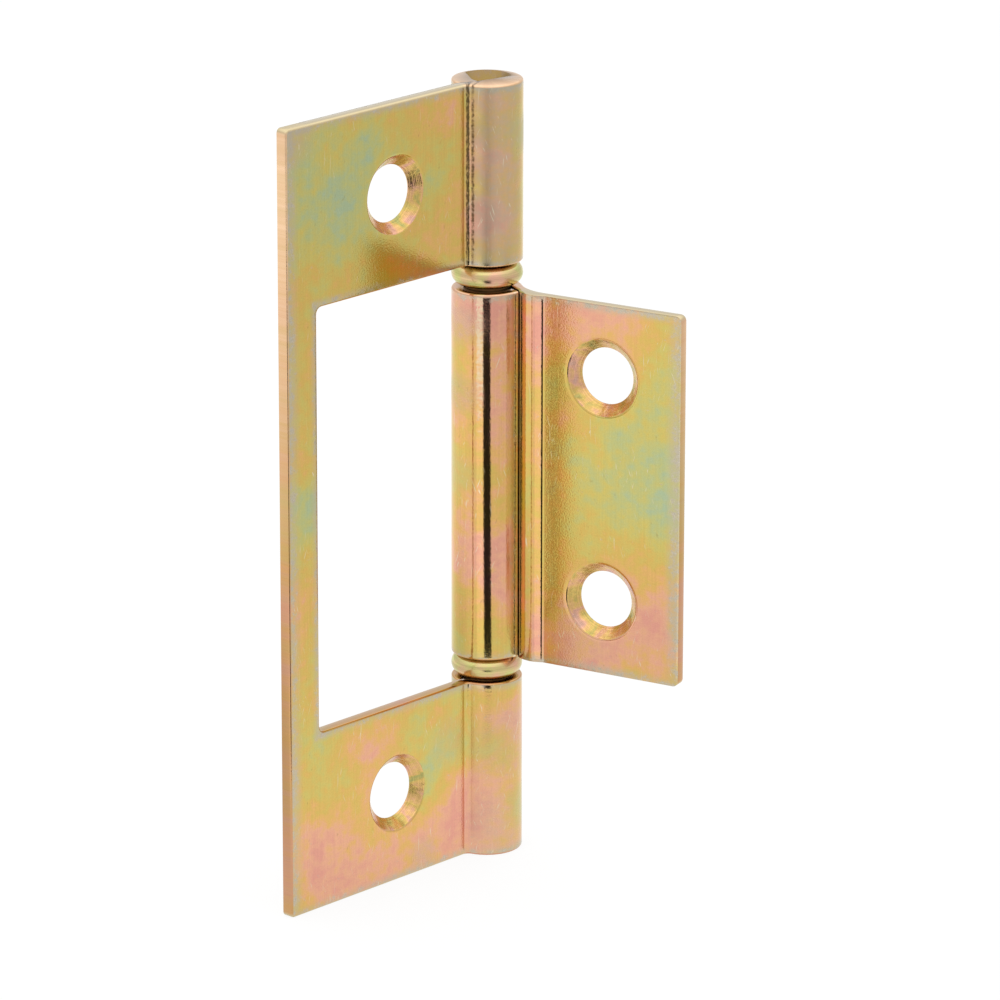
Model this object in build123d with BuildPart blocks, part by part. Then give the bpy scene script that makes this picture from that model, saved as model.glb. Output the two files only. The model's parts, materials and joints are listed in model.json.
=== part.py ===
from build123d import *
import os
from math import acos, atan2, cos, degrees, radians, sin, sqrt

# Bifold door hinge: two rolled sheet leaves on one staked pin, with a bearing washer each side of the
# middle knuckle. Millimetres. The outer leaf's seating face lies in the XZ plane with its countersunk
# face toward -Y, and the origin is midway between that leaf's two screw holes. The pin runs along Z.

os.makedirs("parts", exist_ok=True)

# Sheet, pin and knuckles
sheet_thickness = 1.15
pin_diameter = 4.4
pin_clearance = 0.05
outer_seam_gap = 0.05
inner_seam_gap = 0.2
outer_bend_inside_radius = 0.6
inner_bend_inside_radius = 4.4

# Outer leaf
hinge_height = 76.2
window_height = 41.2
window_reach = 23.5
frame_strip_width = 3.9
window_corner_radius = 0.65
outer_corner_radius = 0.45
outer_hole_reach = 13.0
outer_hole_spacing = 58.6

# Inner leaf, which nests in the window
nesting_clearance = 2.35
inner_corner_radius = 0.6
inner_hole_reach = 12.8
inner_hole_spacing = 22.0
open_angle = 103.0

# Shoulder that the bending die raised on the inner leaf's face, beside its bend
shoulder_reach = 6.46
shoulder_crest_reach = 5.5
shoulder_rise = 0.4
shoulder_end_reach = 4.0
shoulder_end_drop = 0.25

# Countersunk screw holes
hole_diameter = 5.5
countersink_diameter = 7.6
countersink_angle = 90.0

# Edges that blanking leaves rounded or broken
window_edge_round = 0.45
outline_edge_chamfer = 0.25
inner_edge_chamfer = 0.3

# Bearing washers, and the play in the stack between the outer leaf's knuckles
washer_thickness = 2.12
washer_rim_reach = 0.8
washer_clearance = 0.08
play_under_lower_washer = 0.14
play_over_lower_washer = 0.02
play_under_upper_washer = 0.32
play_over_upper_washer = 0.21

# Staked knuckle ends that trap the pin: two lips, and a mouth that the punch spread to one side
stake_depth = 0.8
stake_pin_gap = 0.1
stake_root_inset = 0.15
front_stake_chord = 0.7
front_stake_angle = -104.0
side_stake_chord = 1.57
side_stake_angle = 145.5
mouth_radius = 2.45
mouth_offset = 0.6
mouth_angle = 60.0
mouth_depth = 1.1
pin_end_chamfer = 0.4

# Sizes that follow from the ones above
pin_radius = pin_diameter / 2
bore_radius = pin_radius + pin_clearance
knuckle_radius = bore_radius + sheet_thickness
roll_radius = bore_radius + sheet_thickness / 2
half_sheet = sheet_thickness / 2
outer_reach = window_reach + frame_strip_width
inner_reach = window_reach - nesting_clearance
lower_washer_bottom = -window_height / 2 + play_under_lower_washer
upper_washer_bottom = window_height / 2 - play_over_upper_washer - washer_thickness
inner_bottom = lower_washer_bottom + washer_thickness + play_over_lower_washer
inner_height = upper_washer_bottom - play_under_upper_washer - inner_bottom
inner_middle = inner_bottom + inner_height / 2
pin_length = hinge_height - 2 * (stake_depth + stake_pin_gap)

# The pin's axis, and each leaf's own plane on it: the leaf runs along the plane's -X from the pin
pin_point = Vector(outer_hole_reach, -half_sheet, 0)
pin_axis = Axis(pin_point, (0, 0, 1))
outer_frame = Plane(origin=pin_point)
inner_turn = radians(open_angle)
inner_frame = Plane(origin=pin_point, x_dir=(cos(inner_turn), sin(inner_turn), 0), z_dir=(0, 0, 1))


def rolled_strip_outline(reach, bend_inside_radius, seam_gap):
    """Draw a leaf's section: a flat plate, a reverse bend toward -Y and a roll back to the plate.

    Returns the bend's centre and its direction from the pin, in degrees."""
    bend_radius = bend_inside_radius + half_sheet
    centre_distance = bend_radius + roll_radius
    bend_x = sqrt(centre_distance**2 - bend_radius**2)
    bend_centre = (-bend_x, -bend_radius)
    lean = degrees(atan2(bend_radius, bend_x))
    end_distance = bend_radius + half_sheet + seam_gap
    end_cosine = knuckle_radius**2 + centre_distance**2 - end_distance**2
    seam_angle = degrees(acos(end_cosine / (2 * knuckle_radius * centre_distance)))
    roll_turn = 360 - seam_angle
    roll_end = 180 + lean + roll_turn
    end_direction = Vector(cos(radians(roll_end)), sin(radians(roll_end)))

    Line((-reach, half_sheet), (-reach, -half_sheet))
    Line((-reach, -half_sheet), (-bend_x, -half_sheet))
    CenterArc(bend_centre, bend_inside_radius, 90, lean - 90)
    CenterArc((0, 0), knuckle_radius, 180 + lean, roll_turn)
    Line(end_direction * knuckle_radius, end_direction * bore_radius)
    CenterArc((0, 0), bore_radius, 180 + lean, roll_turn)
    CenterArc(bend_centre, bend_inside_radius + sheet_thickness, lean, 90 - lean)
    Line((-bend_x, half_sheet), (-reach, half_sheet))
    return bend_centre, 180 + lean


def on_knuckle(edge):
    """Tell whether an edge is an end arc on the outside of a rolled knuckle."""
    return edge.geom_type == GeomType.CIRCLE and abs(edge.radius - knuckle_radius) < 1e-4


def stake_lip(frame, angle, chord):
    """Draw one staked lip: the bore beyond a straight chord, rooted in the wall, up to the seam."""
    with BuildSketch(frame) as lip:
        Circle(knuckle_radius - outline_edge_chamfer - stake_root_inset)
        with PolarLocations(chord, 1, angle):
            Rectangle(
                knuckle_radius,
                2 * knuckle_radius,
                align=(Align.MIN, Align.CENTER),
                mode=Mode.INTERSECT,
            )
        with Locations(outer_bend_centre):
            Circle(outer_bend_inside_radius + sheet_thickness + outer_seam_gap, mode=Mode.SUBTRACT)
        Rectangle(
            knuckle_radius,
            bore_radius / 2,
            rotation=outer_bend_direction,
            align=Align.MIN,
            mode=Mode.SUBTRACT,
        )
    return lip.sketch


def cut_screw_holes(face, spacing):
    """Cut a leaf's two countersunk holes from the face that the plane lies on."""
    with Locations(face):
        with GridLocations(0, spacing, 1, 2):
            CounterSinkHole(
                hole_diameter / 2,
                countersink_diameter / 2,
                depth=2 * sheet_thickness,
                counter_sink_angle=countersink_angle,
            )


# Outer leaf: a frame around the window, with an upper and a lower knuckle
window_plane = Plane(origin=pin_point, x_dir=(1, 0, 0), z_dir=(0, -1, 0))
outer_face = Plane(origin=(0, -sheet_thickness, 0), x_dir=(1, 0, 0), z_dir=(0, -1, 0))
with BuildPart() as outer_leaf:
    with BuildSketch(outer_frame.offset(-hinge_height / 2)):
        with BuildLine():
            outer_bend_centre, outer_bend_direction = rolled_strip_outline(
                outer_reach, outer_bend_inside_radius, outer_seam_gap
            )
        make_face()
    extrude(amount=hinge_height)
    free_corners = outer_leaf.edges().filter_by(Axis.Y).group_by(Axis.X)[0]
    fillet(free_corners, outer_corner_radius)

    with BuildSketch(window_plane) as window:
        with Locations((-window_reach, 0)):
            Rectangle(
                window_reach + 2 * knuckle_radius, window_height, align=(Align.MIN, Align.CENTER)
            )
        fillet(window.vertices().group_by(Axis.X)[0], window_corner_radius)
    extrude(amount=2 * knuckle_radius, both=True, mode=Mode.SUBTRACT)

    knuckle_ends = outer_leaf.edges().filter_by(on_knuckle).sort_by(Axis.Z)
    fillet(knuckle_ends[1:3], window_edge_round)
    knuckle_ends = outer_leaf.edges().filter_by(on_knuckle).sort_by(Axis.Z)
    chamfer([knuckle_ends[0], knuckle_ends[-1]], outline_edge_chamfer)

    # The spread mouth of the bore at both ends, then the lips that close over the pin
    mouth_centre = pin_point + Vector(mouth_offset, 0, 0).rotate(Axis.Z, mouth_angle)
    for end in (-1, 1):
        end_height = end * hinge_height / 2
        with Locations(Plane(origin=mouth_centre + Vector(0, 0, end_height), z_dir=(0, 0, -end))):
            Cone(
                mouth_radius,
                bore_radius - mouth_offset,
                mouth_depth,
                align=(Align.CENTER, Align.CENTER, Align.MIN),
                mode=Mode.SUBTRACT,
            )
        lip_plane = outer_frame.offset(min(end_height, end_height - end * stake_depth))
        extrude(stake_lip(lip_plane, front_stake_angle, front_stake_chord), amount=stake_depth)
        extrude(stake_lip(lip_plane, side_stake_angle, side_stake_chord), amount=stake_depth)

    cut_screw_holes(outer_face, outer_hole_spacing)

# Inner leaf: one tall knuckle, with its screw holes countersunk on the side away from the bend
inner_face = Plane(
    origin=inner_frame.from_local_coords((-inner_hole_reach, half_sheet, inner_middle)),
    x_dir=-inner_frame.x_dir,
    z_dir=inner_frame.y_dir,
)
with BuildPart() as inner_leaf:
    with BuildSketch(inner_frame.offset(inner_bottom)):
        with BuildLine():
            rolled_strip_outline(inner_reach, inner_bend_inside_radius, inner_seam_gap)
        make_face()
    with BuildSketch(inner_frame.offset(inner_bottom)):
        with BuildLine():
            crest = (-shoulder_crest_reach, half_sheet + shoulder_rise)
            shoulder_end = (-shoulder_end_reach, half_sheet - shoulder_end_drop)
            TangentArc(crest, shoulder_end, tangent=(1, 0))
            Polyline(
                shoulder_end,
                (-shoulder_end_reach, 0),
                (-shoulder_reach, 0),
                (-shoulder_reach, half_sheet),
                crest,
            )
        make_face()
    extrude(amount=inner_height)
    along_leaf = Axis(pin_point, inner_frame.x_dir)
    across_leaf = Axis(pin_point, inner_frame.y_dir)
    free_corners = inner_leaf.edges().filter_by(across_leaf).group_by(along_leaf)[0]
    fillet(free_corners, inner_corner_radius)
    chamfer(inner_leaf.edges().filter_by(on_knuckle), inner_edge_chamfer)
    cut_screw_holes(inner_face, inner_hole_spacing)

# Hinge pin: plain, with chamfered ends that stop just inside the staked lips
with BuildPart() as hinge_pin:
    with Locations(pin_point):
        Cylinder(pin_radius, pin_length)
    chamfer(hinge_pin.edges().filter_by(GeomType.CIRCLE), pin_end_chamfer)


def washer_section(bottom):
    """Draw half a washer's section beside the pin: flat faces and a round rim."""
    inside = pin_radius + washer_clearance
    rim_start = knuckle_radius - washer_rim_reach
    middle = bottom + washer_thickness / 2
    top = bottom + washer_thickness
    with BuildSketch(window_plane) as section:
        with BuildLine():
            Polyline((rim_start, top), (inside, top), (inside, bottom), (rim_start, bottom))
            ThreePointArc((rim_start, bottom), (knuckle_radius, middle), (rim_start, top))
        make_face()
    return section.sketch


# Bearing washers, one under and one over the middle knuckle
with BuildPart() as lower_washer:
    revolve(washer_section(lower_washer_bottom), axis=pin_axis)

with BuildPart() as upper_washer:
    revolve(washer_section(upper_washer_bottom), axis=pin_axis)

outer_leaf.part.label = "outer_leaf"
inner_leaf.part.label = "inner_leaf"
hinge_pin.part.label = "hinge_pin"
upper_washer.part.label = "upper_washer"
lower_washer.part.label = "lower_washer"

export_step(outer_leaf.part, "parts/outer_leaf.step")
export_step(inner_leaf.part, "parts/inner_leaf.step")
export_step(hinge_pin.part, "parts/hinge_pin.step")
export_step(upper_washer.part, "parts/upper_washer.step")
export_step(lower_washer.part, "parts/lower_washer.step")
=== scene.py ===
"""Bifold door hinge: two leaves blanked and rolled from steel sheet, a pin and two bearing washers,
all zinc plated and yellow chromated. The leaves are made as in the press: a flat blank, its countersunk
holes, its die-rounded edges, and then the roll. Metres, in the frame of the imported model."""

import json
from math import acos, atan2, cos, hypot, pi, radians, sin, sqrt
from types import SimpleNamespace

import bmesh
import bpy
from mathutils import Matrix, Vector


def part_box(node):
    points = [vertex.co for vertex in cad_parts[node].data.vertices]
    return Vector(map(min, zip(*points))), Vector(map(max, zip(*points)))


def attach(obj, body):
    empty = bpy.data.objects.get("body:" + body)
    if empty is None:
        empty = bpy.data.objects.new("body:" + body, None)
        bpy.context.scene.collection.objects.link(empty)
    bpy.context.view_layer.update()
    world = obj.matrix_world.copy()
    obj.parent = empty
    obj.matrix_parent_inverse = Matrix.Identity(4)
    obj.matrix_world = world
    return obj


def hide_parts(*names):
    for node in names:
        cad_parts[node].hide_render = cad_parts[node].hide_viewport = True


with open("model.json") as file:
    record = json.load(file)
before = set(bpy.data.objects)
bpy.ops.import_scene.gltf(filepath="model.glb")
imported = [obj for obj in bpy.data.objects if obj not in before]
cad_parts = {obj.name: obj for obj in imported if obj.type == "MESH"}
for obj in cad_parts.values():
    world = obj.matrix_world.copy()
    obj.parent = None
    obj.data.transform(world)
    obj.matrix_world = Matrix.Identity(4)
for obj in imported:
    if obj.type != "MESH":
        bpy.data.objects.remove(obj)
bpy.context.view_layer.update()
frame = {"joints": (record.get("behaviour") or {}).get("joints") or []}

MM = 0.001
TINY = 1e-6

# Sheet, pin and knuckles
sheet_thickness = 1.15 * MM
half_sheet = sheet_thickness / 2
pin_radius = 2.2 * MM
bore_clearance = 0.05 * MM
bore_radius = pin_radius + bore_clearance
roll_radius = bore_radius + half_sheet
knuckle_radius = bore_radius + sheet_thickness

# Heights and reaches read from the frame
pin_point = Vector(frame["joints"][0]["pos_m"])
outer_low, outer_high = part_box("outer_leaf")
inner_low, inner_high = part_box("inner_leaf")
half_height = (outer_high.z - outer_low.z) / 2
outer_reach = pin_point.x - outer_low.x
open_angle = radians(103)

# Outer leaf, a frame around the window
outer_bend_inside = 0.6 * MM
outer_seam_gap = 0.05 * MM
window_reach = 23.5 * MM
window_half_height = 20.6 * MM
outer_corner_radius = 0.45 * MM
window_corner_radius = 0.65 * MM
outer_hole_reach = 13.0 * MM
outer_hole_height = 29.3 * MM

# Inner leaf, which nests in the window; its roll's last bit stays straight
inner_bend_inside = 4.4 * MM
inner_seam_gap = 0.2 * MM
roll_straight_end = 1.2 * MM
roll_overrun = 0.1 * MM
inner_reach = 21.15 * MM
inner_corner_radius = 0.6 * MM
inner_hole_reach = 12.8 * MM
inner_hole_height = 11.0 * MM

# Bearing washers and the pin's ends
washer_clearance = 0.08 * MM
washer_bore = pin_radius + washer_clearance
washer_rim_reach = 0.8 * MM
pin_chamfer = 0.4 * MM
turning_steps = 96
rim_steps = 16

# Countersunk screw holes
hole_radius = 2.75 * MM
countersink_radius = 3.8 * MM
countersink_land = sheet_thickness - (countersink_radius - hole_radius)
hole_patch = 4.9 * MM
hole_patch_steps = 12

# Edges: the punch rounds one side of the sheet, and plating takes the sharpness off the other
window_edge_round = 0.45 * MM
outline_edge_round = 0.24 * MM
countersink_edge_round = 0.16 * MM
burr_side_round = 0.09 * MM
flat_margin = 0.34 * MM
shut_margin = 0.05 * MM
sharp_angle = radians(32)

# How far a face's normal lies along the sheet's thickness, at most on a cut wall and at least on a flat
wall_normal = 0.9
flat_normal = 0.99

# Staked ends of the outer leaf's knuckles: lips over the pin, and a mouth spread to one side
stake_depth = 0.8 * MM
stake_lips = ((radians(-104), 0.7 * MM), (radians(145.5), 1.57 * MM))
mouth_radius = 2.45 * MM
mouth_offset = 0.6 * MM
mouth_angle = radians(60)
mouth_depth = 1.1 * MM
mouth_rows = (1.25 * MM, 0.95 * MM)
seam_closing = radians(35)

# Stage: the cards' height over the floor
card_lift = 0.2 * MM


def rolled_section(bend_inside_radius, seam_gap, straight_end, overrun):
    """Sizes of a leaf's section: its reverse bend, then its roll up to the seam. The roll's last bit may
    stay straight, and then it overruns the round one by a little."""
    bend_radius = bend_inside_radius + half_sheet
    centre_distance = bend_radius + roll_radius
    bend_x = sqrt(centre_distance**2 - bend_radius**2)
    lean = atan2(bend_radius, bend_x)
    end_distance = bend_radius + half_sheet + seam_gap

    def seam_angle(radius):
        """Angle from the bend's centre line to its back, with the seam's gap, at a radius from the pin."""
        cosine = radius**2 + centre_distance**2 - end_distance**2
        return acos(min(1, cosine / (2 * radius * centre_distance)))

    roll_start = bend_radius * (pi / 2 - lean) - bend_x
    round_end = roll_start + roll_radius * (2 * pi - seam_angle(knuckle_radius))
    return SimpleNamespace(
        bend_radius=bend_radius,
        bend_x=bend_x,
        lean=lean,
        seam_angle=seam_angle,
        roll_start=roll_start,
        straight_from=round_end - straight_end,
        seam=round_end + overrun,
    )


def spaced(start, *spans):
    """Grid lines from start on; each span gives where it ends and how many steps it takes."""
    lines = [start]
    for end, steps in spans:
        first = lines[-1]
        lines += [first + (end - first) * (step + 1) / steps for step in range(steps)]
    return lines


def spoke_direction(offset):
    """Direction round a hole for a point on the square about it, evenly spread along the sides."""
    if abs(offset.x) >= abs(offset.z) - TINY:
        angle = offset.z / offset.x * pi / 4 + (pi if offset.x < 0 else 0)
    else:
        angle = pi / 2 - offset.x / offset.z * pi / 4 + (pi if offset.z < 0 else 0)
    return Vector((cos(angle), 0, sin(angle)))


def flat_blank(columns, rows, window, holes):
    """A flat sheet on those grid lines, facing -Y, with its window and its round holes open."""
    bm = bmesh.new()
    bmesh.ops.create_grid(
        bm,
        x_segments=len(columns) - 1,
        y_segments=len(rows) - 1,
        size=0.5,
        matrix=Matrix.Rotation(pi / 2, 4, "X"),
    )
    for vert in bm.verts:
        column = round((vert.co.x + 0.5) * (len(columns) - 1))
        row = round((vert.co.z + 0.5) * (len(rows) - 1))
        vert.co = (columns[column], 0, rows[row])

    if window:
        opened = [
            face
            for face in bm.faces
            if face.calc_center_median().x > window.edge
            and abs(face.calc_center_median().z) < window.half_height
        ]
        bmesh.ops.delete(bm, geom=opened, context="FACES")

    for hole in holes:
        patch = [
            face
            for face in bm.faces
            if max(abs(c) for c in face.calc_center_median() - hole) < hole_patch
        ]
        bmesh.ops.delete(bm, geom=patch, context="FACES")
        square = [
            edge
            for edge in bm.edges
            if edge.is_boundary
            and all(max(abs(c) for c in vert.co - hole) < hole_patch + TINY for vert in edge.verts)
        ]
        drawn_in = bmesh.ops.extrude_edge_only(bm, edges=square)["geom"]
        for vert in drawn_in:
            if isinstance(vert, bmesh.types.BMVert):
                vert.co = hole + spoke_direction(vert.co - hole) * (countersink_radius + flat_margin)
        ring = [edge for edge in drawn_in if isinstance(edge, bmesh.types.BMEdge) and edge.is_boundary]
        drawn_in = bmesh.ops.extrude_edge_only(bm, edges=ring)["geom"]
        for vert in drawn_in:
            if isinstance(vert, bmesh.types.BMVert):
                vert.co = hole + (vert.co - hole).normalized() * countersink_radius
    bmesh.ops.recalc_face_normals(bm, faces=bm.faces)
    return bm


def from_hole(point, holes):
    """Distance from a flat point to the nearest hole's centre, seen square on."""
    return min(hypot(point.x - hole.x, point.z - hole.z) for hole in holes)


def thicken(bm, holes, sunk_side):
    """Give the blank its thickness about y = 0 and sink its holes from the side at sunk_side."""
    bmesh.ops.solidify(bm, geom=bm.faces[:], thickness=sheet_thickness)
    middle = (min(v.co.y for v in bm.verts) + max(v.co.y for v in bm.verts)) / 2
    bmesh.ops.translate(bm, verts=bm.verts, vec=(0, -middle, 0))
    bmesh.ops.recalc_face_normals(bm, faces=bm.faces)

    walls = [
        edge
        for edge in bm.edges
        if abs(edge.verts[0].co.y - edge.verts[1].co.y) > half_sheet
        and from_hole(edge.verts[0].co, holes) < countersink_radius + TINY
    ]
    bmesh.ops.subdivide_edges(bm, edges=walls, cuts=1)
    for vert in bm.verts:
        off_holes = from_hole(vert.co, holes) > countersink_radius + TINY
        if off_holes or vert.co.y * sunk_side > half_sheet - TINY:
            continue
        hole = min(holes, key=lambda centre: (vert.co - centre).length)
        spoke = Vector((vert.co.x - hole.x, 0, vert.co.z - hole.z)).normalized()
        depth = -half_sheet
        if abs(vert.co.y) < TINY:
            depth += countersink_land
        vert.co = hole + spoke * hole_radius
        vert.co.y = depth * sunk_side


def rim_edges(bm, belongs):
    """Edges that join a flat side of the blank to its cut edge, where both ends belong."""
    found = []
    for edge in bm.edges:
        flatness = sorted(abs(face.normal.y) for face in edge.link_faces)
        is_rim = flatness[0] < wall_normal and flatness[1] > flat_normal
        if is_rim and all(belongs(v.co) for v in edge.verts):
            found.append(edge)
    return found


def round_edges(bm, edges, size, segments):
    """Bevel edges to a round of that size."""
    bmesh.ops.bevel(
        bm,
        geom=edges,
        offset=size,
        offset_type="OFFSET",
        segments=segments,
        profile=0.5,
        affect="EDGES",
        clamp_overlap=True,
        material=-1,
    )


def ease_blank(bm, corners, window, holes):
    """Round the blank's corners and countersinks, then its punched side, and ease every other edge."""
    for x, z, radius in corners:
        posts = [
            edge
            for edge in bm.edges
            if all(abs(v.co.x - x) < TINY and abs(v.co.z - z) < TINY for v in edge.verts)
        ]
        round_edges(bm, posts, radius, segments=6)

    seam = max(vert.co.x for vert in bm.verts)

    def sunk(co):
        return abs(from_hole(co, holes) - countersink_radius) < TINY

    def punched(co):
        return co.y < 0 and from_hole(co, holes) > hole_patch - TINY

    def in_window(co):
        return co.x > window.edge - TINY and abs(co.z) < window.half_height + TINY

    round_edges(bm, rim_edges(bm, sunk), countersink_edge_round, segments=3)
    rims = [e for e in rim_edges(bm, punched) if min(v.co.x for v in e.verts) < seam - TINY]
    if window:
        rims = [e for e in rims if not all(in_window(v.co) for v in e.verts)]
    round_edges(bm, rims, outline_edge_round, segments=4)
    if window:
        rims = rim_edges(bm, lambda co: punched(co) and in_window(co))
        round_edges(bm, rims, window_edge_round, segments=5)
    round_edges(bm, rim_edges(bm, lambda co: True), burr_side_round, segments=2)


def hold_flats(bm, lines):
    """Cut the sheet along lines just inside its rounded edges, so that it shades flat right up to them."""
    for place, across in lines:
        bmesh.ops.bisect_plane(
            bm,
            geom=bm.verts[:] + bm.edges[:] + bm.faces[:],
            dist=TINY / 10,
            plane_co=Vector(across) * place,
            plane_no=across,
        )


def map_sheet(bm, section, holes):
    """Keep each point's place on the flat blank, its edge wear, its distance from a hole, in mm, and
    whether the roll or a washer will shut it in."""
    sheet = bm.loops.layers.uv.new("sheet")
    worn = bm.verts.layers.float.new("worn_edge")
    spoke = bm.verts.layers.float.new("hole_spoke")
    # The bore mark says where painted shade goes: inside the roll, and on the knuckle ends that a washer
    # shuts in
    bore_and_washer_shade = bm.verts.layers.float.new("bore_and_washer_shade")
    for vert in bm.verts:
        rolled = vert.co.x > section.roll_start
        washer_shaded = -shut_margin < vert.co.y < half_sheet - TINY
        washer_shaded = washer_shaded and abs(vert.co.z) < half_height - window_edge_round
        vert[bore_and_washer_shade] = float(rolled and (washer_shaded or vert.co.y > half_sheet / 2))
        off_holes = from_hole(vert.co, holes) > countersink_radius + flat_margin / 2
        vert[worn] = float(off_holes and abs(vert.co.y) < half_sheet - TINY)
        vert[spoke] = from_hole(vert.co, holes) / MM
    for face in bm.faces:
        middle = face.calc_center_median()
        if from_hole(middle, holes) < countersink_radius and abs(face.normal.y) < wall_normal:
            face.material_index = 1
        for loop in face.loops:
            loop[sheet].uv = (loop.vert.co.x / MM, loop.vert.co.z / MM)


def press_shoulder(bm, profile):
    """Raise the shoulder that the bending die leaves on the blank's +Y side. The profile has x and rise."""
    for vert in bm.verts:
        if vert.co.y <= 0:
            continue
        for (start, low), (end, high) in zip(profile, profile[1:]):
            if start < vert.co.x <= end:
                rise = low + (high - low) * (vert.co.x - start) / (end - start)
                vert.co.y += rise * vert.co.y / half_sheet
                break


def roll_up(bm, section):
    """Bend the flat blank past its bend line, then roll the rest about the pin's axis."""
    for vert in bm.verts:
        along = vert.co.x
        outward = -vert.co.y
        straight = 0.0
        if along <= -section.bend_x:
            continue
        if along <= section.roll_start:
            turn = pi / 2 - (along + section.bend_x) / section.bend_radius
            radius = section.bend_radius - outward
            centre = Vector((-section.bend_x, -section.bend_radius, vert.co.z))
        else:
            straight = max(0.0, along - section.straight_from)
            turn = pi + section.lean + (along - straight - section.roll_start) / roll_radius
            radius = roll_radius + outward
            centre = Vector((0, 0, vert.co.z))
        vert.co = centre + Vector((radius * cos(turn), radius * sin(turn), 0))
        vert.co += Vector((-sin(turn), cos(turn), 0)) * straight


def stake_ends(bm, section):
    """Spread both mouths of the outer leaf's bore, push the lips in over the pin and close the seam."""
    roll_end = pi + section.lean - section.seam_angle(knuckle_radius)
    for vert in bm.verts:
        depth = half_height - abs(vert.co.z)
        radius = hypot(vert.co.x, vert.co.y)
        angle = atan2(vert.co.y, vert.co.x)
        if depth > mouth_depth or radius > knuckle_radius + TINY:
            continue

        funnel = mouth_radius + (bore_radius - mouth_offset - mouth_radius) * depth / mouth_depth
        reach = mouth_offset * cos(angle - mouth_angle)
        wall = max(bore_radius, reach + sqrt(funnel**2 - mouth_offset**2 + reach**2))
        if depth < stake_depth + TINY:
            for lip_angle, chord in stake_lips:
                across = cos(angle - lip_angle)
                if across > 0 and vert.co.y * lip_angle > 0:
                    wall = min(wall, chord / across)
        if radius < roll_radius:
            share = (roll_radius - radius) / (roll_radius - bore_radius)
            radius = roll_radius - share * (roll_radius - wall)

        if depth < stake_depth + TINY and roll_end - seam_closing < angle <= roll_end + TINY:
            drawn = (angle - roll_end + seam_closing) / seam_closing
            angle += drawn**2 * (pi + section.lean - section.seam_angle(radius) - roll_end)
        vert.co.x = radius * cos(angle)
        vert.co.y = radius * sin(angle)


def add_piece(bm, name, node, body, materials):
    """Make the finished mesh a piece that stands for a CAD node and moves with its body."""
    mesh = bpy.data.meshes.new(name)
    bm.to_mesh(mesh)
    bm.free()
    for material in materials:
        mesh.materials.append(material)
    mesh.shade_smooth()
    mesh.set_sharp_from_angle(angle=sharp_angle)
    piece = bpy.data.objects.new(name, mesh)
    bpy.context.scene.collection.objects.link(piece)
    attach(piece, body)
    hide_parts(node)
    return piece


def spin_section(bm):
    """Spin a half section in the XZ plane about the Z axis, and set it on the pin's axis."""
    bmesh.ops.spin(
        bm,
        geom=bm.verts[:] + bm.edges[:],
        cent=(0, 0, 0),
        axis=(0, 0, 1),
        angle=2 * pi,
        steps=turning_steps,
        use_merge=True,
    )
    bmesh.ops.remove_doubles(bm, verts=bm.verts, dist=TINY)
    bmesh.ops.recalc_face_normals(bm, faces=bm.faces)
    bmesh.ops.translate(bm, verts=bm.verts, vec=(pin_point.x, pin_point.y, 0))


def round_rim_washer(bottom, top):
    """A washer with flat faces, a bore that is free on the pin, and a rim that is one round."""
    bm = bmesh.new()
    rim_start = knuckle_radius - washer_rim_reach
    half = (top - bottom) / 2
    rim_radius = (half**2 + washer_rim_reach**2) / (2 * washer_rim_reach)
    rim_turn = 2 * atan2(half, rim_radius - washer_rim_reach)
    rim = bm.verts.new((rim_start, 0, bottom))
    arc = bmesh.ops.spin(
        bm,
        geom=[rim],
        cent=(knuckle_radius - rim_radius, 0, bottom + half),
        axis=(0, -1, 0),
        angle=rim_turn,
        steps=rim_steps,
    )
    over = arc["geom_last"][0]
    inside_top = bm.verts.new((washer_bore, 0, top))
    inside_bottom = bm.verts.new((washer_bore, 0, bottom))
    for pair in ((over, inside_top), (inside_top, inside_bottom), (inside_bottom, rim)):
        bm.edges.new(pair)
    spin_section(bm)
    return bm


def chamfered_rod(bottom, top):
    """A plain round rod with a chamfer at each end."""
    bm = bmesh.new()
    section = (
        (0, bottom),
        (pin_radius - pin_chamfer, bottom),
        (pin_radius, bottom + pin_chamfer),
        (pin_radius, top - pin_chamfer),
        (pin_radius - pin_chamfer, top),
        (0, top),
    )
    verts = [bm.verts.new((radius, 0, height)) for radius, height in section]
    for pair in zip(verts, verts[1:]):
        bm.edges.new(pair)
    spin_section(bm)
    return bm


def linear(hex_colour):
    """An sRGB hex colour as linear RGBA."""
    parts = [int(hex_colour[i : i + 2], 16) / 255 for i in (1, 3, 5)]
    return tuple(c / 12.92 if c <= 0.04045 else ((c + 0.055) / 1.055) ** 2.4 for c in parts) + (1,)


def node(tree, kind, inputs=None, **settings):
    """Add one node with its settings; an input takes a value, a socket, or a node for its first output."""
    made = tree.nodes.new(kind)
    for name, value in settings.items():
        setattr(made, name, value)
    for key, value in (inputs or {}).items():
        if isinstance(value, bpy.types.Node):
            value = value.outputs[0]
        if isinstance(value, bpy.types.NodeSocket):
            tree.links.new(value, made.inputs[key])
        else:
            made.inputs[key].default_value = value
    return made


def empty_tree(owner):
    """Give a material or world nodes of its own, with none in them yet."""
    owner.use_nodes = True
    owner.node_tree.nodes.clear()
    return owner.node_tree


def new_material(name):
    """A material with a metal shader on its output."""
    material = bpy.data.materials.new(name)
    tree = empty_tree(material)
    shader = node(tree, "ShaderNodeBsdfPrincipled", {"Metallic": 1.0})
    node(tree, "ShaderNodeOutputMaterial", {"Surface": shader})
    return material, tree, shader


def set_stops(ramp, stops):
    """Give a colour ramp its stops."""
    while len(ramp.color_ramp.elements) < len(stops):
        ramp.color_ramp.elements.new(0.5)
    for element, (place, colour) in zip(ramp.color_ramp.elements, stops):
        element.position = place
        element.color = linear(colour)


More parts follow.
